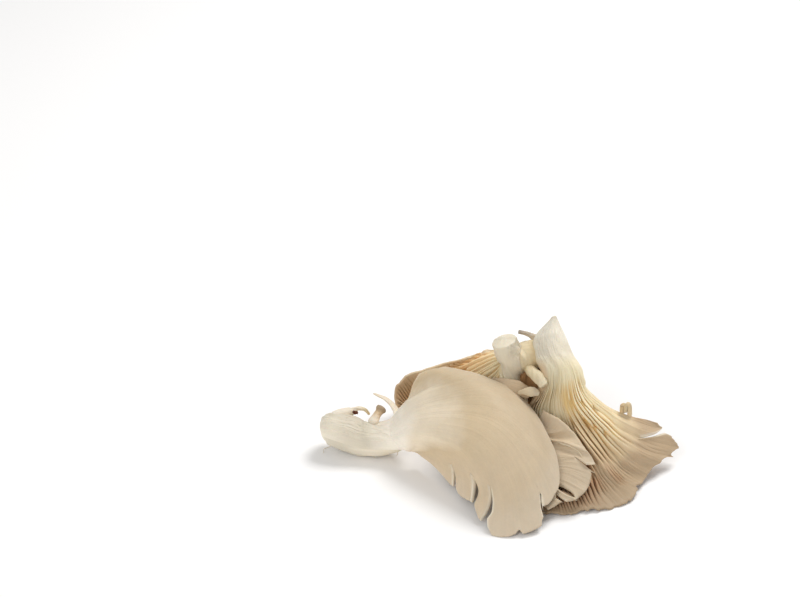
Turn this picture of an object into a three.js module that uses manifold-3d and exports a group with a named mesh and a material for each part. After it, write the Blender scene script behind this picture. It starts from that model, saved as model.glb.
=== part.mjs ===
// Oyster mushroom cluster, lying on a flat surface as it was picked, in millimetres with +Z up.
// The origin is on the surface under the middle of the cluster. +X runs along the front stem towards its
// cap, and +Y runs to the back. Each mushroom is one sheet: a stem that is round in section widens into a
// thin fan. Its grid has rows across the sheet, from the base of the stem to the margin, and columns along
// the gills. The control rows are given from an origin that is up to 2 mm off, and the last lines bring it
// to the middle.
import * as THREE from "three";
import { mergeVertices } from "three/addons/utils/BufferGeometryUtils.js";
import Module from "manifold-3d";

const wasm = await Module();
wasm.setup();

// ---- Driving dimensions -------------------------------------------------------------------------
const EDGE_THICKNESS = 1.1; // the thinnest place of any sheet, at its margin
const TEAR_HALF = 0.011; // half the width of a tear at the margin, as a share of the margin
const STALK_SIDES = 8; // sides of a stalk
const STALK_STEPS = 3; // rings of a stalk between two of its points
const NORMAL_STEP = 0.004; // step in u and v for the slope of a sheet
const FLOOR_BLOCK = 400; // side of the block that trims what sinks below the surface

const COLOURS = {
  cap: 0xcfbda4,
  gills: 0xd9c8a6,
  youngCap: 0xc9b8a0,
};

const v3 = (x, y, z) => new THREE.Vector3(x, y, z);
const { lerp, smoothstep, clamp } = THREE.MathUtils;

// ---- Control rows -------------------------------------------------------------------------------
// A row across a stem: evenly spaced points from one side of the stem to the other.
function stemRow(centre, side, halfWidth, count) {
  const across = side.clone().normalize();
  return Array.from({ length: count }, (_, k) =>
    centre.clone().addScaledVector(across, halfWidth * (1 - (2 * k) / (count - 1))),
  );
}

const curveThrough = (points) => new THREE.CatmullRomCurve3(points, false, "catmullrom", 0.5);

// A number that changes smoothly along a list of values, at t from 0 to 1.
function valueAlong(values, t) {
  const place = clamp(t, 0, 1) * (values.length - 1);
  const first = Math.min(Math.floor(place), values.length - 2);
  return lerp(values[first], values[first + 1], place - first);
}

// ---- One mushroom's sheet -----------------------------------------------------------------------
// The middle surface of a sheet, and its normal, at u across and v along. Past the last row the surface
// runs on straight.
function middleSurface(rows) {
  const across = rows.map(curveThrough);
  const inside = (u, v) => curveThrough(across.map((c) => c.getPoint(clamp(u, 0, 1)))).getPoint(v);
  const point = (u, v) => {
    const end = inside(u, Math.min(v, 1));
    if (v <= 1) return end;
    const before = inside(u, 1 - NORMAL_STEP);
    return end.clone().addScaledVector(end.sub(before), (v - 1) / NORMAL_STEP);
  };
  const normal = (u, v) => {
    const d = NORMAL_STEP;
    const alongU = point(Math.min(u + d, 1), v).sub(point(Math.max(u - d, 0), v));
    const alongV = point(u, v + d).sub(point(u, Math.max(v - d, 0)));
    return alongU.cross(alongV).normalize();
  };
  return { point, normal };
}

// The margin is a list of [s, reach, curl]: s is the place across the sheet, reach the share of the full
// length past the neck, and curl how far the margin stands off the middle surface there, along its normal.
function marginAt(margin, s, which) {
  const after = Math.max(1, margin.findIndex((m) => m[0] >= s));
  const [a, b] = [margin[after - 1], margin[after]];
  return lerp(a[which] ?? 0, b[which] ?? 0, clamp((s - a[0]) / (b[0] - a[0]), 0, 1));
}

// A tear is a narrow V in the margin, with its lips curled differently.
const tear = (at, depth, curlBefore = 0, curlAfter = 0, reach = 1) => [
  [at - TEAR_HALF, reach, curlBefore],
  [at, reach - depth, (curlBefore + curlAfter) / 2],
  [at + TEAR_HALF, reach, curlAfter],
];

// Columns stand at every point of the margin, and evenly between them.
function columnPlaces(margin, columns) {
  const spare = columns + 1 - margin.length;
  const places = [];
  let placed = 0;
  margin.slice(1).forEach(([end], k) => {
    const start = margin[k][0];
    const wanted = Math.round(spare * end) - placed;
    for (let n = 0; n <= wanted; n += 1) places.push(lerp(start, end, n / (wanted + 1)));
    placed += wanted;
  });
  return [...places, 1];
}

// Gill ridges stand on every fourth column from the stem out, and short ones between them near the margin.
// Their heights differ a little from one to the next.
function ridgeAt(column, v, gills) {
  const nearMargin = 1 - smoothstep(v, 0.86, 1) * 0.75;
  const height = gills.depth * (0.8 + 0.2 * Math.sin(column * 1.9)) * nearMargin;
  if (column % 4 === 0) return height * smoothstep(v, gills.start, gills.full);
  if (column % 4 === 2) return height * gills.short * smoothstep(v, gills.full, gills.full + 0.2);
  return 0;
}

// Long folds run along the gills and lift both faces of a sheet. Each is [place across, half width, lift,
// start].
function foldAt(u, v, folds) {
  const lifts = folds.map(([place, halfWidth, lift, start]) => {
    const across = Math.max(0, 1 - Math.pow((u - place) / halfWidth, 2));
    return lift * across * across * smoothstep(v, start, start + 0.2) * (1 - smoothstep(v, 0.8, 1) * 0.6);
  });
  return lifts.reduce((sum, lift) => sum + lift, 0);
}

function sheetGeometry({ rows, thickness, section, neck, margin, folds = [], gills, columns, steps }) {
  const surface = middleSurface(rows);
  const places = columnPlaces(margin, columns);
  const corners = [];
  for (const side of [1, -1]) {
    for (let j = 0; j <= steps; j += 1) {
      for (let i = 0; i <= columns; i += 1) {
        const s = places[i];
        const t = j / steps;
        const v = t <= neck ? t : neck + (t - neck) * marginAt(margin, s, 1);
        const flatness = smoothstep(v, neck * 0.6, neck * 1.25);
        const u = lerp(0.5 - 0.5 * Math.cos(Math.PI * s), s, flatness * 0.85);
        const power = valueAlong(section, v);
        const bulge = Math.pow(1 - Math.pow(Math.abs(2 * u - 1), power), 1 / power);
        const half = Math.max(valueAlong(thickness, v) * bulge, EDGE_THICKNESS) / 2;
        const edge = Math.min(1, bulge * 1.5) * (i === 0 || i === columns ? 0 : 1);
        const ridge = side === gills.side ? ridgeAt(i, v, gills) * edge : 0;
        const lift = marginAt(margin, s, 2) * Math.pow(smoothstep(t, neck, 1), 2) + foldAt(u, v, folds);
        corners.push(
          surface.point(u, v).addScaledVector(surface.normal(u, v), side * (half + ridge) + lift),
        );
      }
    }
  }
  return closedGrid(corners, columns, steps);
}

// Two layers of a grid, joined round their rim into one closed body.
function closedGrid(corners, columns, steps) {
  const perLayer = (columns + 1) * (steps + 1);
  const top = (i, j) => j * (columns + 1) + i;
  const bottom = (i, j) => perLayer + top(i, j);
  const faces = [];
  const quad = (a, b, c, d) => faces.push(a, b, c, a, c, d);
  for (let j = 0; j < steps; j += 1) {
    for (let i = 0; i < columns; i += 1) {
      quad(top(i, j), top(i + 1, j), top(i + 1, j + 1), top(i, j + 1));
      faces.push(bottom(i, j), bottom(i + 1, j + 1), bottom(i + 1, j));
      faces.push(bottom(i, j), bottom(i, j + 1), bottom(i + 1, j + 1));
    }
    quad(bottom(0, j), top(0, j), top(0, j + 1), bottom(0, j + 1));
    quad(top(columns, j), bottom(columns, j), bottom(columns, j + 1), top(columns, j + 1));
  }
  for (let i = 0; i < columns; i += 1) {
    quad(bottom(i, 0), bottom(i + 1, 0), top(i + 1, 0), top(i, 0));
    quad(top(i, steps), top(i + 1, steps), bottom(i + 1, steps), bottom(i, steps));
  }
  return new THREE.BufferGeometry().setFromPoints(corners).setIndex(faces);
}

// ---- Small outgrowths ---------------------------------------------------------------------------
// A tapered stalk along a curve, closed at both ends. points and radii go from its root to its tip, and
// flat is its height as a share of its width.
function stalkGeometry(points, radii, flat = 1) {
  const sides = STALK_SIDES;
  const path = curveThrough(points);
  const steps = (points.length - 1) * STALK_STEPS;
  const ring = (t) => {
    const along = path.getTangent(t).normalize();
    const across = v3(0.31, 0.2, 0.93).cross(along).normalize();
    const up = along.clone().cross(across);
    const radius = valueAlong(radii, t);
    return Array.from({ length: sides }, (_, n) => {
      const angle = (2 * Math.PI * n) / sides;
      return path
        .getPoint(t)
        .addScaledVector(across, radius * Math.cos(angle))
        .addScaledVector(up, flat * radius * Math.sin(angle));
    });
  };
  const corners = Array.from({ length: steps + 1 }, (_, j) => ring(j / steps)).flat();
  corners.push(path.getPoint(0), path.getPoint(1));
  const [root, tip] = [corners.length - 2, corners.length - 1];
  const faces = [];
  for (let n = 0; n < sides; n += 1) {
    const m = (n + 1) % sides;
    for (let j = 0; j < steps; j += 1) {
      const [a, b] = [j * sides + n, j * sides + m];
      faces.push(a, b, b + sides, a, b + sides, a + sides);
    }
    faces.push(root, m, n, tip, steps * sides + n, steps * sides + m);
  }
  return new THREE.BufferGeometry().setFromPoints(corners).setIndex(faces);
}

// ---- Joining ------------------------------------------------------------------------------------
function toSolid(geometry) {
  const bare = geometry.clone();
  bare.deleteAttribute("normal");
  bare.deleteAttribute("uv");
  const merged = mergeVertices(bare, 1e-4);
  return new wasm.Manifold(
    new wasm.Mesh({
      numProp: 3,
      vertProperties: merged.attributes.position.array,
      triVerts: new Uint32Array(merged.index.array),
    }),
  );
}

function toGeometry(solid) {
  const { vertProperties, triVerts } = solid.getMesh();
  const geometry = new THREE.BufferGeometry();
  geometry.setAttribute("position", new THREE.BufferAttribute(vertProperties, 3));
  geometry.setIndex(new THREE.BufferAttribute(triVerts, 1));
  geometry.computeVertexNormals();
  return geometry;
}

const belowSurface = toSolid(
  new THREE.BoxGeometry(FLOOR_BLOCK, FLOOR_BLOCK, FLOOR_BLOCK).translate(0, 0, -FLOOR_BLOCK / 2),
);

// Fuses geometries that grow from each other, and trims them flat where they rest on the surface.
function grownTogether(name, colour, geometries) {
  const solid = geometries
    .map(toSolid)
    .reduce((sum, next) => sum.add(next))
    .subtract(belowSurface);
  const material = new THREE.MeshStandardMaterial({ color: colour, roughness: 0.7, metalness: 0 });
  const mesh = new THREE.Mesh(toGeometry(solid), material);
  mesh.name = name;
  return mesh;
}

// ---- The front mushroom: cap side up, its stem lying to the left --------------------------------
const FRONT_RIBS = 10;
const frontSheet = {
  rows: [
    stemRow(v3(-82.9, 17, 10.5), v3(0.3, 1, 0), 5.6, FRONT_RIBS),
    stemRow(v3(-79.5, 15.5, 11.3), v3(0.3, 1, 0), 7.2, FRONT_RIBS),
    stemRow(v3(-71.5, 13.8, 10.2), v3(0.2, 1, 0), 8.5, FRONT_RIBS),
    stemRow(v3(-63.5, 12, 7.9), v3(0.1, 1, 0), 8, FRONT_RIBS),
    stemRow(v3(-49, 10.4, 12), v3(-0.1, 1, 0.38), 8.5, FRONT_RIBS),
    [
      v3(-39.4, 19.6, 22.6), v3(-38.8, 17.9, 25.6), v3(-37.8, 15.4, 28.2), v3(-37.5, 12, 30), v3(-36, 8, 29),
      v3(-35, 4, 27.5), v3(-35, 1, 25), v3(-36, -0.5, 21), v3(-38.5, 1, 15), v3(-42, 3.5, 9),
    ],
    [
      v3(-38.6, 22, 34), v3(-34.4, 20, 37.8), v3(-26, 16, 40), v3(-17, 10.5, 40), v3(-9, 2.5, 38.5),
      v3(-6, -7, 35), v3(-10, -15, 30.5), v3(-16, -17, 24.5), v3(-26, -7, 17), v3(-39.5, 3.5, 8.5),
    ],
    [
      v3(-38, 22.3, 38.5), v3(-29, 21, 41.3), v3(-14, 17, 41.2), v3(-1, 10.5, 37.5), v3(9, -3.5, 32.5),
      v3(13, -20, 25), v3(3.5, -32.5, 19), v3(-7.5, -32.5, 15), v3(-20.5, -14, 11), v3(-37.5, 3, 7),
    ],
    [
      v3(-37, 22, 40.5), v3(-24.5, 22, 42), v3(-5, 17.5, 38.6), v3(12, 12, 29.5), v3(22.5, -9, 22),
      v3(24.5, -32, 10.5), v3(8, -49.5, 1.2), v3(-9.5, -44, 1.4), v3(-20.5, -22, 3), v3(-36, 1.5, 5),
    ],
  ],
  thickness: [10.5, 14.5, 16.8, 16.8, 11.8, 6.8, 5.5, 3.6, 1.3],
  section: [2, 2.3, 2.1, 2, 2.4, 4, 7, 9, 9],
  neck: 4.2 / 8,
  margin: [
    [0, 1], [0.09, 1], [0.11, 0.98], [0.13, 1, 0.8], [0.2, 1], [0.27, 0.985], [0.3, 1, 0.6], [0.33, 0.985],
    [0.43, 0.985], [0.46, 1.01], [0.52, 1], [0.54, 0.998], [0.56, 0.982], [0.58, 0.974], [0.59, 0.96],
    [0.6, 0.99], [0.607, 1.02], [0.632, 1.01], [0.652, 1], [0.66, 0.97], [0.67, 0.985], [0.69, 1], [0.72, 1.015],
    ...tear(0.745, 0.25, 1, -0.8, 0.99),
    [0.78, 0.965],
    ...tear(0.806, 0.26, 0.8, -0.8, 0.94),
    [0.84, 0.964], [0.86, 0.987],
    ...tear(0.887, 0.28, 0.6, -0.6, 0.985),
    [0.92, 0.99], [0.94, 0.96], [0.96, 0.93], [0.98, 0.915], [1, 0.915],
  ],
  gills: { side: -1, depth: 1.4, short: 0.7, start: 0.5, full: 0.7 },
  columns: 61,
  steps: 17,
};
const hookedStrip = stalkGeometry(
  [
    v3(-79, 18.5, 15.5), v3(-74.5, 20.5, 16.4), v3(-70.2, 22, 16.6), v3(-66.9, 23, 17.6), v3(-64, 23.3, 16.8),
    v3(-62.3, 23, 14.6),
  ],
  [2.6, 2.6, 1.9, 1, 0.8, 0.5],
);
const buttonSprout = stalkGeometry(
  [v3(-60.6, 15, 12), v3(-58.1, 20.6, 15.4), v3(-55.6, 23.6, 18.3)],
  [2.8, 1.6, 2.6],
);
const tornShred = stalkGeometry(
  [v3(-46, 17, 17), v3(-50, 21.5, 17.5), v3(-54.6, 24.3, 20), v3(-59.5, 27, 24)],
  [2.8, 1.9, 1.5, 0.7],
  0.6,
);
const backLobe = stalkGeometry(
  [
    v3(-6.4, 16.8, 38.5), v3(-0.3, 15.8, 38.5), v3(5.3, 14.2, 37.6), v3(10.9, 12.6, 35.8),
    v3(14.4, 11.6, 34.2),
  ],
  [2.5, 3, 2.8, 2.6, 1.6],
  0.4,
);
const raisedFlap = stalkGeometry(
  [v3(7.6, 11.6, 35), v3(10.8, 11.2, 36.2), v3(13.8, 10.8, 36.4), v3(16.4, 10.4, 35.2)],
  [0.7, 1.9, 2, 0.8],
  0.5,
);

const group = new THREE.Group();
group.add(
  grownTogether("front_mushroom", COLOURS.cap, [
    sheetGeometry(frontSheet),
    hookedStrip,
    buttonSprout,
    tornShred,
    backLobe,
    raisedFlap,
  ]),
);

// ---- The rear pair: two mushrooms grown together, gills up, their cut stems pointing up ---------
const FAN_RIBS = 7;
const rightFan = {
  rows: [
    stemRow(v3(25.2, 38, 59.3), v3(1, 0, 0), 1.6, FAN_RIBS),
    stemRow(v3(23.2, 30, 53.5), v3(1, 0, 0), 7.6, FAN_RIBS),
    stemRow(v3(24.8, 23.5, 48), v3(1, 0, 0.1), 9, FAN_RIBS),
    stemRow(v3(28.5, 16.5, 42), v3(1, 0.1, 0.2), 9.8, FAN_RIBS),
    [
      v3(38.3, 14.5, 36.8), v3(37.5, 10, 34), v3(35.5, 7.5, 31), v3(32, 8, 28), v3(26.5, 11.5, 25.5),
      v3(19.5, 14, 22.5), v3(12, 17, 19),
    ],
    [
      v3(49.5, 12, 27.5), v3(49.5, 4, 24), v3(46, -1, 20), v3(38, -4, 16.5), v3(30, -3, 13), v3(20, 1, 9),
      v3(9, 2, 7),
    ],
    [
      v3(64, 11, 21.7), v3(66, 1, 15), v3(59, -9, 10), v3(47, -17, 8), v3(34, -20, 6), v3(20, -19, 4.5),
      v3(6, -14, 4),
    ],
    [
      v3(74, 10, 19), v3(84, 4.5, 7.5), v3(73, -8, 1.6), v3(58, -26, 0.8), v3(40, -33, 0.6),
      v3(22, -36, 0.6), v3(4, -30, 1),
    ],
  ],
  thickness: [4, 8, 9, 9, 6.5, 4.6, 3, 1.3],
  section: [2, 2, 2.2, 2.6, 5, 7, 9, 9],
  neck: 3 / 7,
  margin: [
    [0, 1], [0.05, 0.985, 0.6], [0.075, 0.9], [0.097, 0.74, -0.4], [0.113, 0.95, 0.6], [0.13, 1], [0.18, 1],
    [0.2, 0.99], [0.225, 0.94], [0.235, 0.97], [0.25, 0.925], [0.3, 0.92], [0.355, 0.927], [0.4, 0.945],
    [0.43, 0.935], [0.44, 0.965], [0.47, 0.98], [0.5, 0.995], [0.54, 1], [0.6, 0.995], [0.66, 0.985],
    [0.675, 0.965], [0.69, 0.985], [0.715, 0.98], [1, 0.98],
  ],
  folds: [
    [0.1, 0.06, 1.5, 0.5], [0.26, 0.05, 1.8, 0.4], [0.38, 0.045, -1.5, 0.42], [0.47, 0.04, 1.8, 0.4],
    [0.56, 0.04, -1.4, 0.45], [0.66, 0.05, 1.4, 0.42], [0.82, 0.06, 1.2, 0.45],
  ],
  gills: { side: 1, depth: 1.6, short: 0.7, start: 0.26, full: 0.55 },
  columns: 76,
  steps: 17,
};

const leftFan = {
  rows: [
    stemRow(v3(1.5, 27, 54), v3(-0.3, -1, 0), 6, FAN_RIBS),
    stemRow(v3(4, 27.5, 47), v3(-0.3, -1, 0), 7, FAN_RIBS),
    stemRow(v3(7, 28, 40), v3(-0.3, -1, 0), 8, FAN_RIBS),
    [
      v3(13, 18.5, 27), v3(5, 19, 26), v3(-1, 22, 27), v3(-4, 27, 29), v3(-4, 34, 31), v3(0, 40, 34),
      v3(7, 43, 36),
    ],
    [
      v3(10, 13, 14), v3(-6, 13, 14), v3(-16, 19, 14), v3(-21, 28, 15), v3(-19, 38, 20), v3(-11, 45, 26),
      v3(1, 48, 33),
    ],
    [
      v3(5, 8, 5), v3(-15, 10, 3), v3(-31, 18, 1.8), v3(-40, 31, 1.6), v3(-38.5, 43, 6), v3(-21, 49, 21),
      v3(-4, 51.5, 31),
    ],
    [
      v3(3, 6, 3), v3(-19, 8, 3), v3(-38, 20, 3), v3(-50.5, 35, 5), v3(-49.5, 43, 18), v3(-29, 49, 22.5),
      v3(-7, 52, 30),
    ],
  ],
  thickness: [11, 13, 12, 8, 4.5, 3, 1.3],
  section: [2.2, 2, 2.2, 4, 8, 9, 9],
  neck: 2.2 / 6,
  margin: [
    [0, 1], [0.15, 0.97], [0.3, 1], [0.4, 1], [0.5, 0.93], [0.56, 0.925], [0.6, 0.955], [0.66, 0.97, 0.5],
    [0.7, 0.98, -0.5], [0.78, 0.98], [0.85, 0.99], [1, 1],
  ],
  folds: [
    [0.2, 0.07, 1.4, 0.4], [0.42, 0.06, -1.2, 0.45], [0.6, 0.06, 1.3, 0.42], [0.8, 0.06, 1.3, 0.42],
  ],
  gills: { side: 1, depth: 1.4, short: 0.7, start: 0.38, full: 0.55 },
  columns: 46,
  steps: 14,
};
const sharedNeck = stalkGeometry([v3(3, 29, 41), v3(14, 28.5, 44.5), v3(27, 27, 48)], [7, 7.2, 7]);
const innerWeb = stalkGeometry([v3(6, 27, 36), v3(15, 25.5, 33), v3(25, 21, 33)], [4, 4, 4], 3.2);
const clubSprout = stalkGeometry(
  [v3(13.5, 25, 41), v3(16.8, 20, 40.4), v3(18.8, 17, 38.9), v3(20.4, 15, 37)],
  [2.6, 3.2, 2.6, 1.3],
);
const marginCurl = stalkGeometry(
  [v3(56.6, 10.4, 23), v3(57.2, 10.5, 29), v3(59.6, 10.5, 29), v3(60.5, 10.4, 22.5)],
  [1.2, 1, 1, 1.1],
);
const brokenTip = stalkGeometry([v3(18.5, 33, 50), v3(13.8, 34.5, 52.3), v3(8.5, 35.5, 53.5)], [2, 1.2, 1]);
group.add(
  grownTogether("rear_pair", COLOURS.gills, [
    sheetGeometry(rightFan),
    sheetGeometry(leftFan),
    sharedNeck,
    innerWeb,
    clubSprout,
    brokenTip,
    marginCurl,
  ]),
);

// ---- The middle mushroom: a small cap between the two, cap side up, its lobes lying on the right fan 
const MIDDLE_RIBS = 8;
const middleSheet = {
  rows: [
    stemRow(v3(-15, -13, 4), v3(0.2, 1, 0), 3.4, MIDDLE_RIBS),
    stemRow(v3(-9, -12.5, 6.5), v3(0.2, 1, 0), 4.6, MIDDLE_RIBS),
    stemRow(v3(1, -11, 13.5), v3(0.1, 1, 0.1), 5.6, MIDDLE_RIBS),
    [
      v3(12, 2, 19), v3(14, -1, 19.5), v3(16, -5, 18), v3(17, -10, 16.4), v3(17, -15, 14.5),
      v3(16, -20, 11.8), v3(14, -25, 9.4), v3(11, -29, 7.6),
    ],
    [
      v3(17, 6, 22.5), v3(21.5, 1, 22.4), v3(26, -4, 21.5), v3(28.5, -9, 18.6), v3(29.5, -15, 15.5),
      v3(28, -21, 12.6), v3(23.5, -27, 9.3), v3(16, -32, 6.8),
    ],
    [
      v3(20, 8, 28), v3(24.5, 3, 29), v3(32, -3.5, 26.2), v3(37.5, -10, 20.8), v3(41.2, -17.5, 15.9),
      v3(39, -26.5, 10.8), v3(33, -33, 7.6), v3(20.5, -37, 4.8),
    ],
  ],
  thickness: [6, 8, 8, 4.5, 3, 1.3],
  section: [2.2, 2, 2.2, 5, 9, 9],
  neck: 2.2 / 5,
  margin: [
    [0, 1], [0.1, 0.97], [0.2, 1, 0.5], [0.3, 0.98], [0.4, 1, 0.8], [0.52, 1.03, 1], [0.55, 1, 0.4],
    [0.565, 0.8], [0.585, 0.97, -0.3], [0.64, 1], [0.7, 1], [0.76, 1, 0.4], [0.805, 0.97, 0.3],
    [0.825, 0.78], [0.845, 0.96, -0.3], [0.92, 1, 0.5], [1, 1],
  ],
  folds: [[0.3, 0.06, -1, 0.6], [0.4, 0.05, 0.8, 0.6]],
  gills: { side: -1, depth: 0.9, short: 0.7, start: 0.4, full: 0.7 },
  columns: 40,
  steps: 11,
};
group.add(grownTogether("middle_mushroom", COLOURS.youngCap, [sheetGeometry(middleSheet)]));

// The origin moves to the point of the surface that is under the middle of the whole cluster.
const middle = new THREE.Box3().setFromObject(group).getCenter(v3(0, 0, 0));
group.position.set(-middle.x, -middle.y, 0);

export default group;
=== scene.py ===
# Oyster mushroom cluster: fine flesh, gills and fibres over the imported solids, with the camera and light.
# Shapes are worked out in mm, from the solids' control rows with some points up to 4 mm away from theirs.
import math

import bpy
import numpy as np
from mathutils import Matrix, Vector


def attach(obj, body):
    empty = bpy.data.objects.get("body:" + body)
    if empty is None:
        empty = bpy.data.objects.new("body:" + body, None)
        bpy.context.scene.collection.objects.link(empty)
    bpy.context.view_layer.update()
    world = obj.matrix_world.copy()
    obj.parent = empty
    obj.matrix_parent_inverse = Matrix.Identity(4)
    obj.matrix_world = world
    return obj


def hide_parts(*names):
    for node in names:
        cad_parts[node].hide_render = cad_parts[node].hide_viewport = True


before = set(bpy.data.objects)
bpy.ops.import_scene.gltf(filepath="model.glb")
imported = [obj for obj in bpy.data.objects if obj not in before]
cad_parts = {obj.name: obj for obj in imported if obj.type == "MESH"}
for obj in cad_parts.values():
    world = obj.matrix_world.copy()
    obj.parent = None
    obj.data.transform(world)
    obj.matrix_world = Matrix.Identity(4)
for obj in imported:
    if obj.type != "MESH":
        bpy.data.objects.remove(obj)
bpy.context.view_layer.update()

# ---- Driving values ----
MM = 0.001  # in metres
ORIGIN = np.array((0.302, -0.999, 0.0))  # where the control rows' origin lies in the part's frame, mm
LOWEST = 0.02  # no point lies lower than this, mm
MERGE_DIGITS = 5  # points that agree to this many digits of a mm are one
UV_MARGIN = 0.02  # the share of the texture square left free at each side
LATTICE = 64  # random numbers along each side of the noise lattice

# The grid of a sheet
SLOPE_STEP = 0.004  # step in u and v for the slope of a sheet
WIDTH_STEP = 0.02  # step in u for the width of a sheet
ROUND_END = (0, 0.25, 0.5, 0.7, 0.85, 0.95, 1)  # the sizes of the rings that close the base of a stem
RIM_ROWS = 6
RIM_SHARE = 0.006  # the share of a sheet's length that its rounded margin takes
EDGE_HALF = 0.45  # half the thickness of a sheet at its margin, mm
EDGE_ZONE = (0.2, 3)  # gills rise to their height over these distances from an edge, mm
SIDE_ZONE = (0.5, 0.95)  # and over these shares of the thickness at a sheet's sides
FLAT_ZONE = (0.6, 1.25)  # a stem turns into a flat cap between these shares of its neck's v
FLAT_SPREAD = 0.85  # how evenly the columns lie across the flat cap

# Slits
LIP_OFFSETS = (0.0004, 0.001, 0.0019, 0.003)  # extra columns beside a slit or a side
LIP_CLEAR = 1.2  # no even column lies nearer to a slit than this times the last offset
LIP_GAP = 0.01  # the least opening on each side of a slit, mm
LIP_SPREAD = 7  # how far a slit's lip usually pushes its neighbours aside, mm
LIP_ROWS = 1.05  # a slit is open from this many rows past its inner end

# Each kind of relief: what is added to the sheet's seed, humps across, humps along, octaves of noise
WAVE = (0, 9, 5, 3)
WANDER = (20, 9, 5, 3)
FIBRES = (40, 46, 9, 2)
LUMPS = (50, 7, 16, 3)
GRAIN = (60, 60, 4, 2)
FRILL = (90, 45, 3, 3)


def lerp(a, b, share):
    return a + (b - a) * share


def smoothstep(x, low, high):
    share = np.clip((x - low) / (high - low), 0, 1)
    return share * share * (3 - 2 * share)


def zone(x, at, around):
    """Goes from 0 to 1 between the two distances around a place."""
    return smoothstep(x, at + around[0], at + around[1])


def hump(x, place, half_width):
    """1 at a place, falling to 0 at half_width from it."""
    return np.clip(1 - ((x - place) / half_width) ** 2, 0, 1)


def along_list(values, t):
    """A number that changes evenly along a list, at t from 0 to 1."""
    return np.interp(t, np.linspace(0, 1, len(values)), values)


def noise(seed, x, y):
    """Smooth noise from -1 to 1 over two coordinates, with about one hump to each unit."""
    lattice = np.random.default_rng(seed).uniform(-1, 1, (LATTICE, LATTICE))
    column, row = np.floor(x).astype(int), np.floor(y).astype(int)
    right, up = smoothstep(x - column, 0, 1), smoothstep(y - row, 0, 1)

    def corner(a, b):
        return lattice[(column + a) % LATTICE, (row + b) % LATTICE]

    return lerp(lerp(corner(0, 0), corner(1, 0), right), lerp(corner(0, 1), corner(1, 1), right), up)


def rough(seed, x, y, octaves=3):
    """Noise with finer and weaker noise added to it."""
    return sum(noise(seed + n, x * 2**n, y * 2**n) / 2**n for n in range(octaves))


def relief(kind, seed, u, v):
    """The noise of one kind of relief at u across and v along a sheet."""
    own_seed, across, along, octaves = kind
    return rough(seed + own_seed, u * across, v * along, octaves)


# ---- Curves ----
def unit(vectors):
    return vectors / np.linalg.norm(vectors, axis=-1, keepdims=True)


def with_ends(points):
    """Points with one more at each end, mirrored, so that a curve runs through all of them."""
    return np.concatenate([2 * points[:1] - points[1:2], points, 2 * points[-1:] - points[-2:-1]])


def spline_weights(t, count):
    """The first of the four points that a Catmull-Rom curve uses at t, and their weights."""
    place = np.clip(t, 0, 1) * (count - 1)
    first = np.minimum(place.astype(int), count - 2)
    w = place - first
    weights = np.stack([
        -0.5 * w**3 + w**2 - 0.5 * w,
        1.5 * w**3 - 2.5 * w**2 + 1,
        -1.5 * w**3 + 2 * w**2 + 0.5 * w,
        0.5 * w**3 - 0.5 * w**2,
    ])
    return first, weights


def curve_points(points, t):
    first, weights = spline_weights(t, len(points))
    ends = with_ends(np.array(points, float))
    return sum(weights[k][:, None] * ends[first + k] for k in range(4))


def middle_surface(rows):
    """A function for points on the smooth surface through control rows. Past them it runs on straight."""
    ribs = with_ends(np.swapaxes(np.array(rows, float), 0, 1))

    def inside(u, v):
        first, weights = spline_weights(u.ravel(), len(rows[0]))
        on_rows = sum(weights[k][:, None, None] * ribs[first + k] for k in range(4))
        on_rows = with_ends(np.swapaxes(on_rows, 0, 1))
        first, weights = spline_weights(v.ravel(), len(rows))
        each = np.arange(u.size)
        found = sum(weights[k][:, None] * on_rows[first + k, each] for k in range(4))
        return found.reshape(*u.shape, 3)

    def point(u, v):
        beyond = np.maximum(v - 1, 0)[..., None] / SLOPE_STEP
        end = inside(u, v)
        return end + beyond * (end - inside(u, np.minimum(v, 1) - SLOPE_STEP))

    return point


def stem_row(centre, side, half_width, count):
    """A row across a stem: evenly spaced points from one side of the stem to the other."""
    across = unit(np.array(side)) * half_width
    return [np.array(centre) + across * share for share in np.linspace(1, -1, count)]


def sheet_rows(stem, cap):
    """Control rows: the stem's, from (centre, side, half width), then the cap's own points."""
    return [stem_row(*row, len(cap[0])) for row in stem] + cap


# ---- Meshes ----
def layer_triangles(shape, gaps, first_index, facing):
    """Two triangles for each cell of a grid, apart from the gaps, cells left out of every row."""
    rows, columns = shape
    cells = np.setdiff1d(np.arange(columns - 1), gaps)
    a = (np.arange(rows - 1)[:, None] * columns + cells).ravel() + first_index
    b, c, d = a + 1, a + columns + 1, a + columns
    triangles = np.concatenate([np.stack([a, b, c], 1), np.stack([a, c, d], 1)])
    return triangles if facing > 0 else triangles[:, ::-1]


def add_object(name, data):
    made = bpy.data.objects.new(name, data)
    bpy.context.scene.collection.objects.link(made)
    return made


def texture_places(shape, layers):
    """A place in the texture square for each point, layer by layer."""
    across, along = (np.linspace(UV_MARGIN, 1 - UV_MARGIN, count) for count in shape[::-1])
    across, along = np.meshgrid(across, along)
    each = [np.stack([across.ravel(), (along.ravel() + n) / layers], 1) for n in range(layers)]
    return np.concatenate(each)


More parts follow.
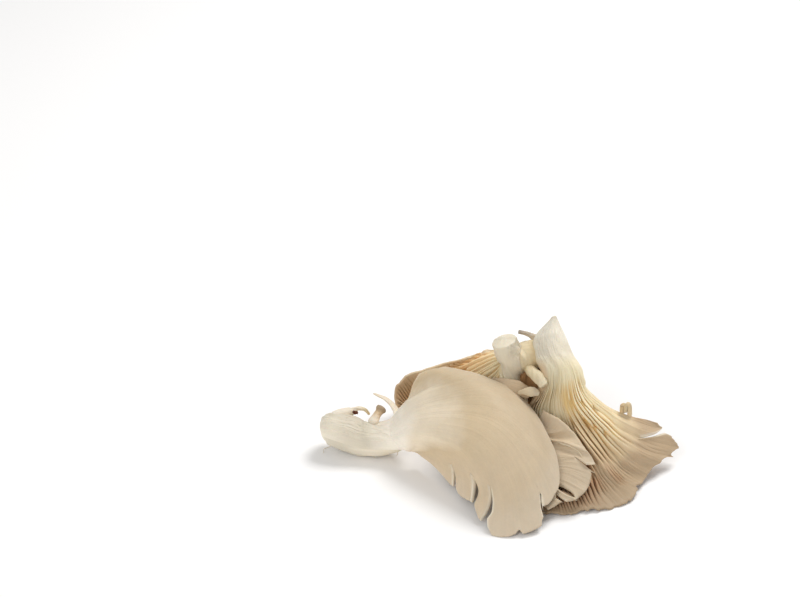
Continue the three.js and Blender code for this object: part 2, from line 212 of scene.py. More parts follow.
def make_piece(name, layers, values, material, nodes, gaps=()):
    """One closed mesh from layers of points in a grid, joined wherever their points meet.

    layers is a list of (points, facing). values maps an attribute's name to a grid for each layer.
    """
    shape = layers[0][0].shape[:2]
    count = shape[0] * shape[1]
    corners = np.concatenate([points.reshape(-1, 3) for points, _ in layers]) + ORIGIN
    corners[:, 2] = np.maximum(corners[:, 2], LOWEST)
    gaps = np.array(gaps, int)
    triangles = np.concatenate([
        layer_triangles(shape, gaps, n * count, facing) for n, (_, facing) in enumerate(layers)
    ])
    rounded = np.round(corners, MERGE_DIGITS)
    _, kept, merged = np.unique(rounded, axis=0, return_index=True, return_inverse=True)
    joined = merged.ravel()[triangles]
    a, b, c = joined.T
    whole = (a != b) & (b != c) & (c != a)
    mesh = bpy.data.meshes.new(name)
    mesh.from_pydata(corners[kept] * MM, [], joined[whole])
    mesh.shade_smooth()
    uv = texture_places(shape, len(layers))
    mesh.uv_layers.new(name="OFBake").uv.foreach_set("vector", uv[triangles[whole]].ravel())
    for title, grids in values.items():
        numbers = np.concatenate([np.broadcast_to(grid, shape).ravel() for grid in grids])[kept]
        mesh.attributes.new(title, "FLOAT", "POINT").data.foreach_set("value", numbers.astype(np.float32))
    mesh.materials.append(material)
    piece = add_object(name, mesh)
    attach(piece, "root")
    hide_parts(*nodes)


# ---- The grid, margin and slits of a sheet ----
def column_places(columns, cuts):
    """Places across the sheet: even ones, finer ones at its sides and beside slits, and two at each slit.

    Also gives, for each place, -1 or 1 where it is the lip before or after a slit.
    """
    even = np.linspace(0, 1, columns + 1)
    for cut in cuts:
        even = even[np.abs(even - cut["at"]) > LIP_OFFSETS[-1] * LIP_CLEAR]
    fine = [cut["at"] + sign * offset for cut in cuts for offset in LIP_OFFSETS for sign in (-1, 1)]
    sides = [*LIP_OFFSETS[:2], *(1 - np.array(LIP_OFFSETS[:2]))]
    lips = [cut["at"] for cut in cuts for _ in range(2)]
    places = np.concatenate([even, fine, sides, lips])
    lip = np.concatenate([np.zeros(len(places) - len(lips)), np.tile([-1, 1], len(cuts))])
    order = np.lexsort((lip, places))
    return places[order], lip[order]


def row_places(rows):
    """Rings that close the base (shrink from 0 to 1 at t = 0), then rows to the rounded margin at t = 1."""
    rim = 1 - RIM_SHARE * np.cos(np.linspace(0, math.pi / 2, RIM_ROWS))
    t = np.concatenate([np.zeros(len(ROUND_END)), np.linspace(0, 1 - RIM_SHARE, rows)[:-1], rim])
    shrink = np.concatenate([ROUND_END, np.ones(len(t) - len(ROUND_END))])
    return t, shrink


def margin_at(margin, s, which):
    """The reach (which = 1) or curl (which = 2) of a margin list, at the places s."""
    rows = np.array([[*point, 0][:3] for point in margin])
    return np.interp(s, rows[:, 0], rows[:, which])


FOLD_RISE = 0.2  # the length along v over which a fold rises
FOLD_FADE = (0.8, 1)  # folds get lower towards the margin between these v
FOLD_LOSS = 0.6  # the share of its height that a fold has lost at the margin


def fold_lift(u, v, folds):
    """How far soft folds lift points, in mm. Each is [u, half width, lift, from v, change of u along v]."""
    lifts = [
        lift * hump(u - lean * (v - start), place, half_width) ** 2
        * smoothstep(v, start, start + FOLD_RISE)
        for place, half_width, lift, start, lean in folds
    ]
    return sum(lifts, np.zeros_like(u)) * (1 - FOLD_LOSS * smoothstep(v, *FOLD_FADE))


def slit(at, start, lips, spread=LIP_SPREAD):
    """A slit at s = at that opens at v = start, and where its lips lie along v, in mm:

    [v, aside before, aside after, lift before, lift after].
    """
    return {"at": at, "start": start, "lips": np.array(lips), "spread": spread}


def cut_shifts(cuts, places, lip, v, width, row_step):
    """How far slits push points aside and lift them, in mm, and each point's distance from an open lip.

    The lips still meet in the first row where the flesh beside a slit thins, so its inner end is closed.
    """
    aside, lift = np.zeros_like(v), np.zeros_like(v)
    nearest = np.full_like(v, np.inf)
    for cut in cuts:
        own = lip * (places == cut["at"])
        sign = np.where(own != 0, own, np.sign(places - cut["at"]))
        distance = np.abs(places - cut["at"]) * width
        opened = v > cut["start"] + row_step
        knots, *lips = cut["lips"].T
        shifts = np.stack([np.interp(v, knots, lip_places) for lip_places in lips])
        shifts = np.where(opened, shifts, (shifts + shifts[[1, 0, 3, 2]]) / 2)
        for which, wanted in ((0, -1), (1, 1)):
            near = (sign == wanted) * np.clip(1 - distance / cut["spread"], 0, 1)
            aside += near * (shifts[which] + wanted * LIP_GAP * opened)
            lift += near**2 * shifts[which + 2]
        nearest = np.where(v > cut["start"], np.minimum(nearest, distance), nearest)
    return aside, lift, nearest


# ---- Gills ----
# Places and lengths are in v.
BLADES = 120  # how many gills have their own height before the heights repeat
BROAD_SEED, FINE_SEED, SPACING_SEED = 21, 22, 25  # added to the sheet's seed
CREST_WIDTH = 0.42  # the share of a gill that its crest takes
BREAK_PLACES, BREAK_LENGTHS = (0.5, 0.8), (0.03, 0.08)  # where a gill's gap starts, and how long it is
BREAK_SLANT = 0.012  # how much further out it starts on a gill's other side
BREAK_FALL, BREAK_FLOOR = 0.008, 0.01  # a gill falls before its gap, and rises after the floor
BREAK_LOSS = 0.85
WANDER_RISE = 0.3  # over which gills start to wander
SPACING, SPACING_GILLS, SPACING_ALONG = 0.45, 2.2, 2  # how unevenly gills stand, over how many gills
BROAD_STARTS, FINE_STARTS = 0.16, 0.1  # over which gills start
FINE_LEAD = 0.2  # fine gills start this much before the split
SPLIT_HALF = 0.1  # from the split to where broad gills have turned into fine ones
FINE_FROM, FINE_TO = -0.04, 0.97  # gills get lower between these, the first from the split on
FINE_LOSS, DEEP_KEEP = 0.9, 0.45  # how much lower, and how much of that deep patches are spared
PATCH_START, PATCH_END = (-0.06, 0.02), (-0.04, 0.04)  # around the v where a patch starts and ends


def blade_crests(phase, start, spread, gills, seed, v):
    """How near each point is to the crest of a gill, from 0 to 1, with one gill at each whole phase."""
    blade = np.rint(phase).astype(int)
    aside = np.abs(phase - blade) * 2
    numbers = np.random.default_rng(seed).uniform(size=(5, BLADES))[:, blade % BLADES]
    begins = start + spread * (numbers[0] - 0.5)
    tall = lerp(gills["lowest"], 1, numbers[1]) * smoothstep(v, begins, begins + gills["rise"])
    broken = lerp(*BREAK_PLACES, numbers[2]) + BREAK_SLANT * (phase - blade)
    end = broken + lerp(*BREAK_LENGTHS, numbers[4])
    gap = smoothstep(v, broken - BREAK_FALL, broken) * (1 - smoothstep(v, broken + BREAK_FLOOR, end))
    tall = tall * (1 - BREAK_LOSS * gap * (numbers[3] < gills["broken"]))
    return (1 - smoothstep(aside, CREST_WIDTH, 1)) * tall


def gill_relief(u, v, gills, deep, seed):
    """The height of the gills over the flesh between them, and how near each point is to a crest.

    Broad gills run down from the stem, and split into twice as many fine ones further out. Their depth is in
    mm, start, rise and split are in v, wander is in gills, and lowest and broken are shares.
    """
    start, split, count = gills["start"], gills["split"], gills["count"]
    wander = gills["wander"] * relief(WANDER, seed, u, v) * smoothstep(v, start, start + WANDER_RISE)
    uneven = SPACING * noise(seed + SPACING_SEED, u * count / SPACING_GILLS, v * SPACING_ALONG)
    phase = u * count + wander + uneven
    broad = blade_crests(phase, start, BROAD_STARTS, gills, seed + BROAD_SEED, v)
    fine = blade_crests(phase * 2, split - FINE_LEAD, FINE_STARTS, gills, seed + FINE_SEED, v)
    crest = lerp(broad, fine, smoothstep(v, split - SPLIT_HALF, split + SPLIT_HALF))
    loss = FINE_LOSS * smoothstep(v, split + FINE_FROM, FINE_TO) * (1 - DEEP_KEEP * deep)
    return gills["depth"] * (1 - loss) * crest, crest


def patch_share(u, v, patches):
    """How far points are inside patches. Each is [u, half width, from v, to v, share at its middle]."""
    shares = [
        share * hump(u, place, half_width) * zone(v, start, PATCH_START) * (1 - zone(v, end, PATCH_END))
        for place, half_width, start, end, share in patches
    ]
    return np.clip(sum(shares, np.zeros_like(u)), 0, 1)


# ---- One mushroom's sheet ----
DEEP_GAIN, CALM_LOSS = 0.9, 0.7  # how much taller gills stand in deep patches, and lower in calm ones
CALM_TONE = 0.65  # how much of the painted shade in the gills' crevices calm patches lose
GILL_ZONE = (-0.04, 0.15)  # the flesh between gills sinks in here, around the gills' start
SUNK_SHARE, SUNK_MOST = 0.5, 0.75  # how deep, as shares of the gills' depth and of half the thickness
SUNK_FROM, SUNK_LOSS = 0.75, 0.7  # from this v on it rises again by this share
LUMP_ZONE = 0.3  # lumps fade over this length past the neck
SIDE_RELIEF = 0.3  # the skin's relief fades at the sides, below this share of the thickness
END_SEED = 70
END_HUMP = 3  # the size of the humps on a stem's base, mm
TORN_LIP = (0.3, 1.3)  # white flesh fades over these distances from an open lip, mm
TORN_END = (0.8, 1)  # over these sizes of a base's rings
PALE_EDGE = (0.85, 0.995)  # and, where a sheet has a pale edge, over these shares of its thickness


def edge_round(distance, half):
    """Shrinks a sheet's thickness towards its edge, as a quarter circle does."""
    return np.sqrt(1 - (1 - np.clip(distance / half, 0, 1)) ** 2)


def sheet_width(point, u, v):
    """The way across the whole sheet at each point, in mm."""
    after, before = np.minimum(u + WIDTH_STEP, 1), np.maximum(u - WIDTH_STEP, 0)
    return np.linalg.norm(point(after, v) - point(before, v), axis=2) / (after - before)


def sheet_slopes(point, u, v):
    """The sheet's slope along v, its length in mm and its normal, at each point."""
    before = np.maximum(v - SLOPE_STEP, 0)
    along_u = point(np.minimum(u + SLOPE_STEP, 1), v) - point(np.maximum(u - SLOPE_STEP, 0), v)
    along_v = point(u, v + SLOPE_STEP) - point(u, before)
    length = np.linalg.norm(along_v, axis=2) / (v + SLOPE_STEP - before)
    return along_v, length, unit(np.cross(along_u, along_v))


def stem_relief(spec, u, v, flat):
    """The fibres and lumps of a stem, in mm."""
    fibres = relief(FIBRES, spec["seed"], u, v) * spec["fibre"] * (1 - flat)
    lumps = relief(LUMPS, spec["seed"], u, v) * spec["lump"]
    return fibres + lumps * (1 - smoothstep(v, spec["neck"], spec["neck"] + LUMP_ZONE))


def closed_base(spec, points, base, out, shrink):
    """Draws a layer's first rings in to the middle of the stem's base, as a low, uneven dome."""
    around = (points - base) * shrink[:, None, None]
    x, y, z = (around[..., axis] for axis in range(3))
    uneven = rough(spec["seed"] + END_SEED, x / END_HUMP, (y + z) / END_HUMP) * spec["uneven"]
    dome = (1 - shrink[:, None] ** 2) * (spec["dome"] + uneven)
    return base + around + out * dome[..., None]


def sheet_piece(name, material, nodes, slot, **spec):
    """A whole mushroom as one closed sheet, with gills on one side and skin on the other.

    Its rows run from the base of the stem, v = 0, to the margin, v = 1, and across from u = 0 to u = 1.
    thickness (mm) and section (2 is oval, more is flatter) change evenly along v. neck is the v where the
    stem ends. margin is a list of [s across, reach, curl in mm]. frill is a share of the reach; dome,
    uneven, wave, fibre, lump and grain are heights in mm.
    """
    point = middle_surface(spec["rows"])
    cuts, gills, neck, seed = spec.get("cuts", []), spec["gills"], spec["neck"], spec["seed"]
    places, lip = column_places(spec["columns"], cuts)
    t, shrink = row_places(spec["steps"])
    s, t = np.meshgrid(places, t)
    reach = margin_at(spec["margin"], places, 1) + spec["frill"] * relief(FRILL, seed, places, places)
    v = np.where(t <= neck, t, neck + (t - neck) * reach)
    flat = smoothstep(v, neck * FLAT_ZONE[0], neck * FLAT_ZONE[1])
    u = lerp(0.5 - 0.5 * np.cos(math.pi * s), s, flat * FLAT_SPREAD)
    power = along_list(spec["section"], v)
    bulge = (1 - np.abs(2 * u - 1) ** power) ** (1 / power)
    width = sheet_width(point, u, v)
    aside, lip_lift, lip_distance = cut_shifts(cuts, places, lip, v, width, LIP_ROWS / spec["steps"])
    u = np.clip(u + aside / width, 0, 1)
    middle = point(u, v)
    along_v, length, normal = sheet_slopes(point, u, v)

    half = np.maximum(along_list(spec["thickness"], v) / 2, EDGE_HALF) * bulge
    open_half = np.maximum(half, EDGE_HALF)
    to_margin = (1 - t) * length
    edge = edge_round(to_margin, open_half) * edge_round(lip_distance, open_half)
    inside = smoothstep(np.minimum(to_margin, lip_distance), *EDGE_ZONE) * smoothstep(bulge, *SIDE_ZONE)
    curl = margin_at(spec["margin"], places, 2) * smoothstep(t, neck, 1) ** 2
    lift = curl + fold_lift(u, v, spec.get("folds", [])) + lip_lift
    lift = lift + spec["wave"] * relief(WAVE, seed, u, v) * smoothstep(v, neck, 1)

    # deep patches stand gills taller and carry painted shade; calm patches lower them
    deep, calm = (patch_share(u, v, spec.get(kind, [])) for kind in ("deep", "calm"))
    gill_height, crest = gill_relief(u, v, gills, deep, seed)
    gill_height = gill_height * (1 + DEEP_GAIN * deep) * (1 - CALM_LOSS * calm)
    gilled = zone(v, gills["start"], GILL_ZONE)
    sunk = gills["depth"] * SUNK_SHARE * gilled * (1 - SUNK_LOSS * smoothstep(v, SUNK_FROM, 1))
    gill_height = gill_height - np.minimum(sunk, half * SUNK_MOST)
    stem = stem_relief(spec, u, v, flat)
    skin = relief(GRAIN, seed, u, v) * spec["grain"] * flat + stem
    at_edge = edge * smoothstep(bulge, 0, SIDE_RELIEF)

    rim_row = len(ROUND_END)
    base, out = middle[rim_row].mean(0), unit(-along_v[rim_row].mean(0))
    layers, skins, ridges = [], [], []
    for side in (1, -1):
        gilled_side = side == gills["side"]
        height = gill_height * inside + stem * at_edge if gilled_side else skin * at_edge
        points = middle + normal * (side * (half * edge + height) + lift)[..., None]
        layers.append((closed_base(spec, points, base, out, shrink), side))
        skins.append(np.full_like(v, 0.0 if gilled_side else 1.0))
        # where the crevices between gills get painted shade
        shading = gilled * inside * (1 - CALM_TONE * calm) * gilled_side
        ridges.append(lerp(1, crest, shading))
    torn = 1 - np.minimum(smoothstep(lip_distance, *TORN_LIP), smoothstep(shrink, *TORN_END)[:, None])
    torn = np.maximum(torn, spec.get("pale_edge", 0) * (1 - smoothstep(bulge, *PALE_EDGE)))
    values = {
        "along": [v, v], "across": [u, u], "skin": skins, "ridge": ridges, "torn": [torn, torn],
        "deep": [deep, deep],
    }
    gaps = np.flatnonzero((lip[:-1] == -1) & (lip[1:] == 1))
    make_piece(name, layers, values, material, nodes, gaps)


# ---- Small outgrowths ----
STALK_REFERENCE = (0.31, 0.2, 0.93)  # a stalk's width runs across this direction
STALK_SIDES = 40
STALK_RINGS = 70
STALK_END_RINGS = 9
STALK_END = 0.05  # the usual share of a stalk's length that each rounded end takes
STALK_BUMP = 0.18  # how uneven a stalk usually is, mm
BUMPS_AROUND, BUMPS_ALONG = 1.5, 6
BUMPS_START = (10, 20)  # where in the noise the bumps start


def stalk_piece(
    name, points, radii, colours, nodes, slot, seed, flat=1, bump=STALK_BUMP, end=STALK_END,
    reference=STALK_REFERENCE,
):
    """A tapered stalk along a curve from its root to its tip, closed and rounded at both ends."""
    curve = 1 - np.cos(np.linspace(0, math.pi / 2, STALK_END_RINGS))
    body = np.linspace(end, 1 - end, STALK_RINGS)
    t = np.concatenate([curve[:-1] * end, body, 1 - curve[::-1][1:] * end])
    centre = curve_points(points, t)
    tangent = unit(np.gradient(centre, t, axis=0))
    across = unit(np.cross(reference, tangent))
    up = np.cross(tangent, across)
    rounded = edge_round(np.minimum(t, 1 - t) / end, 1)
    radius = curve_points([[r, 0, 0] for r in radii], t)[:, 0] * rounded
    angle = np.linspace(0, 2 * math.pi, STALK_SIDES + 1)
    ring = np.stack([np.cos(angle), np.sin(angle)])
    bumps = ring[:, None] * BUMPS_AROUND + np.reshape(BUMPS_START, (2, 1, 1)) + t[:, None] * BUMPS_ALONG
    radius = radius[:, None] + rough(seed, *bumps) * bump * rounded[:, None]
    grid = centre[:, None] + radius[..., None] * (
        across[:, None] * ring[0][None, :, None] + flat * up[:, None] * ring[1][None, :, None]
    )
    along = np.broadcast_to(t[:, None], radius.shape)
    around = np.broadcast_to(0.5 - 0.5 * np.cos(angle), radius.shape)
    values = {"along": [along], "across": [around], "skin": [np.ones_like(along)]}
    make_piece(name, [(grid, 1)], values, stalk_materials[colours], nodes)


# ---- Materials ----
FLESH_SHADING = {
    "Subsurface Weight": 0.12, "Subsurface Radius": (1, 0.6, 0.35), "Subsurface Scale": 1.5 * MM,
    "Specular IOR Level": 0.35,
}
SIDE_STREAKS = 9  # how far apart in the noise the streaks of the two sides of a sheet lie
USUAL_GRAIN = {"From Min": 0.3, "From Max": 0.7}  # most values of a noise texture lie between these
MIX_FACTOR, MIX_A, MIX_B, MIX_RESULT = 0, 6, 7, 2  # the colour sockets of a mix node
CLOUD_SHIFT = 0.16  # how far noise moves the colours along a sheet
MOTTLE = 0.03
RIDGE_FADE = (0.02, 0.5)  # a gill's colour changes from the painted shade of its crevices to its crest between these shares of its height
DEEP_SHADE_TONE = 0.45  # how much of the painted shade crest colour deep patches take
TORN_TONE = 0.75


def colour(red, green, blue):
    """A colour from its screen values, 0 to 255, as the linear colour that a shader takes."""
    shares = [part / 255 for part in (red, green, blue)]
    linear = [s / 12.92 if s <= 0.04045 else ((s + 0.055) / 1.055) ** 2.4 for s in shares]
    return (*linear, 1)


class Surface:
    """A node material, with short ways to add nodes to it."""

    def __init__(self, name, roughness):
        self.material = bpy.data.materials.new(name)
        self.material.use_nodes = True
        self.tree = self.material.node_tree
        self.shader = self.tree.nodes["Principled BSDF"]
        for key, value in {"Roughness": roughness, **FLESH_SHADING}.items():
            self.shader.inputs[key].default_value = value

    def node(self, kind, inputs, output=0, **settings):
        made = self.tree.nodes.new("ShaderNode" + kind)
        for key, value in settings.items():
            setattr(made, key, value)
        for key, value in inputs.items():
            if isinstance(value, bpy.types.NodeSocket):
                self.tree.links.new(value, made.inputs[key])
            else:
                made.inputs[key].default_value = value
        return made.outputs[output]

    def value(self, name):
        return self.node("Attribute", {}, "Fac", attribute_name=name)

    def maths(self, operation, *inputs):
        return self.node("Math", dict(enumerate(inputs)), operation=operation)

    def place(self):
        """The place on the object in millimetres."""
        at = self.node("TexCoord", {}, "Object")
        return self.node("VectorMath", {0: at, "Scale": 1 / MM}, operation="SCALE")

    def grain(self, vector, scale, detail, roughness=0.5):
        inputs = {"Vector": vector, "Scale": scale, "Detail": detail, "Roughness": roughness}
        return self.node("TexNoise", inputs, "Fac")

    def streaks(self, across, along):
        """Noise drawn out along the sheet's fibres, with so many streaks across and along it."""
        parts = (("across", across), ("along", along), ("skin", SIDE_STREAKS))
        scaled = [self.maths("MULTIPLY", self.value(name), count) for name, count in parts]
        return self.grain(self.node("CombineXYZ", dict(enumerate(scaled))), scale=1, detail=4)

    def ramp(self, factor, stops):
        """A colour that changes along factor, by (position, colour) stops."""
        out = self.node("ValToRGB", {0: factor})
        out.node.color_ramp.interpolation = "EASE"
        elements = out.node.color_ramp.elements
        for _ in stops[2:]:
            elements.new(0.5)
        for element, (position, tone) in zip(elements, stops):
            element.position = position
            element.color = tone
        return out

    def tones(self, factor, stops):
        """A colour that changes along factor, by (position, red, green, blue) stops."""
        return self.ramp(factor, [(position, colour(*tone)) for position, *tone in stops])

    def fade(self, factor, low, high):
        """A number that goes from 0 to 1 as factor goes from low to high."""
        inputs = {"Value": factor, "From Min": low, "From Max": high}
        return self.node("MapRange", inputs, interpolation_type="SMOOTHSTEP")

    def mix(self, factor, a, b, blend="MIX"):
        inputs = {MIX_FACTOR: factor, MIX_A: a, MIX_B: b}
        return self.node("Mix", inputs, MIX_RESULT, data_type="RGBA", blend_type=blend)

    def shade(self, base, factor, stops):
        """A colour made darker or lighter along factor, by (position, share) stops."""
        greys = self.ramp(factor, [(position, (share, share, share, 1)) for position, share in stops])
        return self.mix(1.0, base, greys, "MULTIPLY")

    def vary(self, base, grain, low, high):
        """A colour made darker or lighter by grain, between the factors low and high."""
        inputs = {"Value": grain, **USUAL_GRAIN, "To Min": low, "To Max": high}
        factor = self.node("MapRange", inputs)
        grey = self.node("CombineColor", dict(enumerate((factor, factor, factor))))
        return self.mix(1.0, base, grey, "MULTIPLY")

    def finish(self, base, heights):
        """Sets the colour, and bumps from (height, depth in mm) pairs."""
        self.tree.links.new(base, self.shader.inputs["Base Color"])
        normal = None
        for height, depth in heights:
            inputs = {"Height": height, "Distance": depth * MM, "Strength": 1.0}
            if normal:
                inputs["Normal"] = normal
            normal = self.node("Bump", inputs)
        self.tree.links.new(normal, self.shader.inputs["Normal"])
        return self.material


# Stops are (place from root to margin or tip, red, green, blue on screen), or (place across, brightness of
# painted light and shade).
TORN = (238, 229, 210)
WHITE_FLESH = (236, 226, 209)
# Painted shade: the colours of crevices and crests in deep patches, where the gills lie in shadow
DEEP_CREVICE_SHADE = (112, 66, 44)
DEEP_CREST_SHADE = (198, 142, 94)


def flesh_material(name, skin_stops, crest_stops, crevice_shade_stops, light_and_shade_stops, torn=TORN):
    """Skin on one side, gills on the other, with white flesh where the sheet is torn."""
    made = Surface(name, roughness=0.56)
    place, along, deep = made.place(), made.value("along"), made.value("deep")
    cloudy = made.grain(place, scale=0.05, detail=3)
    blotches = made.grain(place, scale=0.16, detail=4, roughness=0.6)
    moved = made.maths("ADD", along, made.maths("MULTIPLY_ADD", cloudy, CLOUD_SHIFT, -CLOUD_SHIFT / 2))
    fine = made.grain(place, scale=1.3, detail=5, roughness=0.65)
    streaks = made.streaks(across=110, along=5)
    cracks = made.streaks(across=26, along=60)
    skin = made.vary(made.tones(moved, skin_stops), streaks, low=0.965, high=1.02)
    skin = made.vary(skin, blotches, low=1 - MOTTLE, high=1 + MOTTLE)
    skin = made.vary(skin, cracks, low=0.985, high=1.01)
    crest = made.vary(made.tones(moved, crest_stops), streaks, low=0.94, high=1.04)
    # deep patches get painted shade: warmer, darker crests and dark crevices
    crest = made.mix(made.maths("MULTIPLY", deep, DEEP_SHADE_TONE), crest, colour(*DEEP_CREST_SHADE))
    # the crevices between gills are painted darker than the crests: painted shade
    crevice_shade = made.mix(deep, made.tones(moved, crevice_shade_stops), colour(*DEEP_CREVICE_SHADE))
    gills = made.mix(made.fade(made.value("ridge"), *RIDGE_FADE), crevice_shade, crest)
    base = made.mix(made.value("skin"), gills, skin)
    base = made.vary(base, fine, low=0.965, high=1.02)
    # painted light and shade across the sheet: sides turned away from the light darker, lit sides and edges
    # lighter
    base = made.shade(base, made.value("across"), light_and_shade_stops)
    base = made.mix(made.maths("MULTIPLY", made.value("torn"), TORN_TONE), base, colour(*torn))
    return made.finish(base, [(streaks, 0.14), (fine, 0.08), (cracks, 0.05)])


def stalk_material(name, stops, way="along"):
    """Fibrous flesh whose colour changes from root to tip, or across it."""
    made = Surface(name, roughness=0.6)
    fine = made.grain(made.place(), scale=1.2, detail=5, roughness=0.65)
    streaks = made.streaks(across=14, along=3)
    base = made.vary(made.tones(made.value(way), stops), streaks, low=0.93, high=1.04)
    base = made.vary(base, fine, low=0.95, high=1.03)
    return made.finish(base, [(streaks, 0.15), (fine, 0.08)])


front_flesh = flesh_material(
    "front_flesh",
    [
        (0, 231, 222, 204), (0.16, 226, 217, 198), (0.3, 217, 207, 188), (0.38, 213, 204, 184),
        (0.45, 228, 219, 202), (0.54, 246, 237, 221), (0.64, 232, 217, 192), (0.74, 207, 186, 153),
        (0.87, 206, 186, 156), (1, 213, 196, 171),
    ],
    # the stem's gill side starts at the skin's colours darkened to 0.93: painted shade, so the underside lit
    # by light bounced off the floor matches the skin
    [
        (0, 219, 211, 194), (0.25, 207, 198, 179), (0.42, 230, 220, 200), (0.6, 226, 211, 182),
        (0.8, 217, 198, 166), (1, 206, 186, 158),
    ],
    [(0.45, 224, 210, 180), (0.6, 190, 164, 124), (0.8, 160, 130, 92), (1, 190, 166, 136)],
    # painted light at both sides of the cap, painted shade over its middle
    [
        (0, 1.1), (0.07, 1.03), (0.16, 0.96), (0.3, 0.925), (0.42, 0.945), (0.6, 1.0), (0.72, 1.02),
        (0.82, 1.06), (1, 1.12),
    ],
)
rear_flesh = flesh_material(
    "rear_flesh",
    [(0, 233, 225, 208), (0.35, 212, 194, 166), (0.6, 166, 137, 105), (1, 156, 125, 93)],
    [
        (0, 236, 229, 213), (0.25, 231, 221, 200), (0.4, 240, 227, 193), (0.55, 247, 232, 196),
        (0.7, 242, 223, 184), (0.8, 218, 196, 160), (0.88, 192, 167, 135), (1, 184, 161, 131),
    ],
    [
        (0, 228, 218, 194), (0.3, 230, 215, 182), (0.42, 230, 205, 152), (0.55, 226, 194, 132),
        (0.7, 210, 172, 112), (0.8, 184, 154, 114), (0.88, 180, 153, 119), (1, 182, 157, 127),
    ],
    # painted shade over the lower, outer part of the fan, which faces away from the light
    [(0, 1.03), (0.3, 1.03), (0.5, 0.97), (0.64, 0.86), (0.8, 0.84), (1, 0.88)],
)
left_flesh = flesh_material(
    "left_flesh",
    [
        (0, 243, 233, 211), (0.16, 243, 229, 203), (0.35, 212, 194, 166), (0.6, 166, 137, 105),
        (1, 156, 125, 93),
    ],
    [
        (0, 244, 235, 214), (0.16, 246, 236, 212), (0.3, 234, 222, 196), (0.42, 240, 222, 180),
        (0.58, 244, 214, 164), (0.72, 232, 194, 140), (0.86, 212, 172, 120), (0.94, 214, 188, 150),
        (1, 220, 198, 164),
    ],
    [
        (0, 228, 218, 194), (0.3, 226, 208, 170), (0.45, 226, 186, 122), (0.6, 206, 154, 90),
        (0.75, 182, 130, 74), (0.88, 160, 114, 68), (0.94, 196, 164, 122), (1, 210, 186, 150),
    ],
    # painted shade over the dark inner left end of the fan
    [(0, 1.02), (0.4, 0.95), (0.55, 0.82), (0.68, 0.82), (0.78, 0.99), (1, 1.04)],
    torn=(220, 209, 186),
)
young_flesh = flesh_material(
    "young_flesh",
    [(0, 226, 214, 194), (0.45, 212, 194, 167), (0.75, 202, 181, 151), (1, 206, 187, 159)],
    [(0, 226, 212, 186), (0.6, 216, 198, 166), (1, 204, 184, 156)],
    [(0, 212, 192, 158), (0.6, 168, 138, 100), (1, 186, 160, 130)],
    [(0, 1.05), (0.4, 1.03), (0.7, 0.9), (1, 0.9)],
    torn=(222, 207, 182),
)
STALK_COLOURS = {
    "rim": [(0, 130, 92, 62), (0.4, 176, 152, 124), (1, 192, 172, 144)],
    "ridge": [(0, 222, 206, 180), (1, 216, 198, 170)],
    # painted shadow: a dark bead in the hole between the hooked strip and the stem
    "hole_shadow": [(0, 96, 54, 38), (1, 120, 72, 50)],
    "hook": [(0, *WHITE_FLESH), (0.55, 232, 220, 198), (1, 228, 208, 162)],
    "white": [(0, *WHITE_FLESH), (1, 230, 216, 192)],
    "button": [(0, *WHITE_FLESH), (0.5, 212, 186, 150), (0.72, 176, 152, 122), (1, 160, 140, 116)],
    "club": [(0, 206, 184, 144), (0.4, 217, 202, 168), (1, 226, 212, 182)],
    "curl": [(0, 214, 190, 150), (1, 226, 206, 170)],
    "neck": [(0, 224, 212, 186), (0.45, 220, 204, 170), (0.7, 208, 185, 143), (1, 216, 202, 174)],
    # painted shade: pale at the back, dark brown on the front, where this filler lies in shadow between the
    # fans
    "web_shaded_front": [(0, 206, 188, 158), (0.4, 198, 174, 138), (0.6, 180, 142, 98), (1, 168, 126, 82)],
    "lobe": [(0, 198, 176, 146), (1, 188, 164, 132)],
    "flap": [(0, 204, 186, 156), (0.5, 210, 192, 161), (1, 216, 200, 172)],
    "tip": [(0, 214, 198, 170), (0.6, 190, 176, 156), (1, 158, 146, 132)],
}
ACROSS = ("web_shaded_front",)  # the stalks whose colour changes from side to side; the filler between the fans is painted dark on its front as painted shade
stalk_materials = {
    kind: stalk_material(f"{kind}_stalk", stops, "across" if kind in ACROSS else "along")
    for kind, stops in STALK_COLOURS.items()
}

